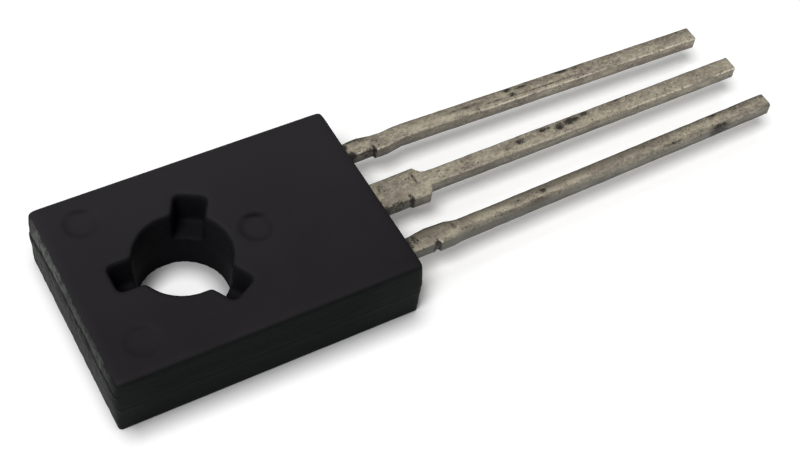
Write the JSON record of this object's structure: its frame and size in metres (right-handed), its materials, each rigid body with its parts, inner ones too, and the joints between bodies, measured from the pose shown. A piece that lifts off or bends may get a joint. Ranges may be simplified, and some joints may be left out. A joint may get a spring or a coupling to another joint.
{
  "type": "npn power transistor",
  "caption": "Flat black moulded power transistor lying on its metal back, with a keyed mounting hole and straight tinned leads in a row.",
  "frame": {"origin": "on the axis of the mounting hole, in the plane of the metal back", "axes": "+X along the leads towards their tips, +Y towards the base lead, +Z out of the marked face"},
  "size_m": [0.0264, 0.0076, 0.0026],
  "materials": {
    "moulding_compound": "fine matte black epoxy moulding compound",
    "tinned_copper": "dull stained tin plate over copper",
    "silicon": "polished silicon with a bright metal top",
    "solder": "dull soft solder",
    "bond_wire": "bright drawn aluminium"
  },
  "bodies": {
    "root": {"moulded_body": "moulding_compound", "collector_frame": "tinned_copper", "emitter_lead": "tinned_copper", "base_lead": "tinned_copper", "transistor_die": "silicon", "die_attach_solder": "solder", "emitter_bond_wire": "bond_wire", "base_bond_wire": "bond_wire"}
  },
  "joints": []
}
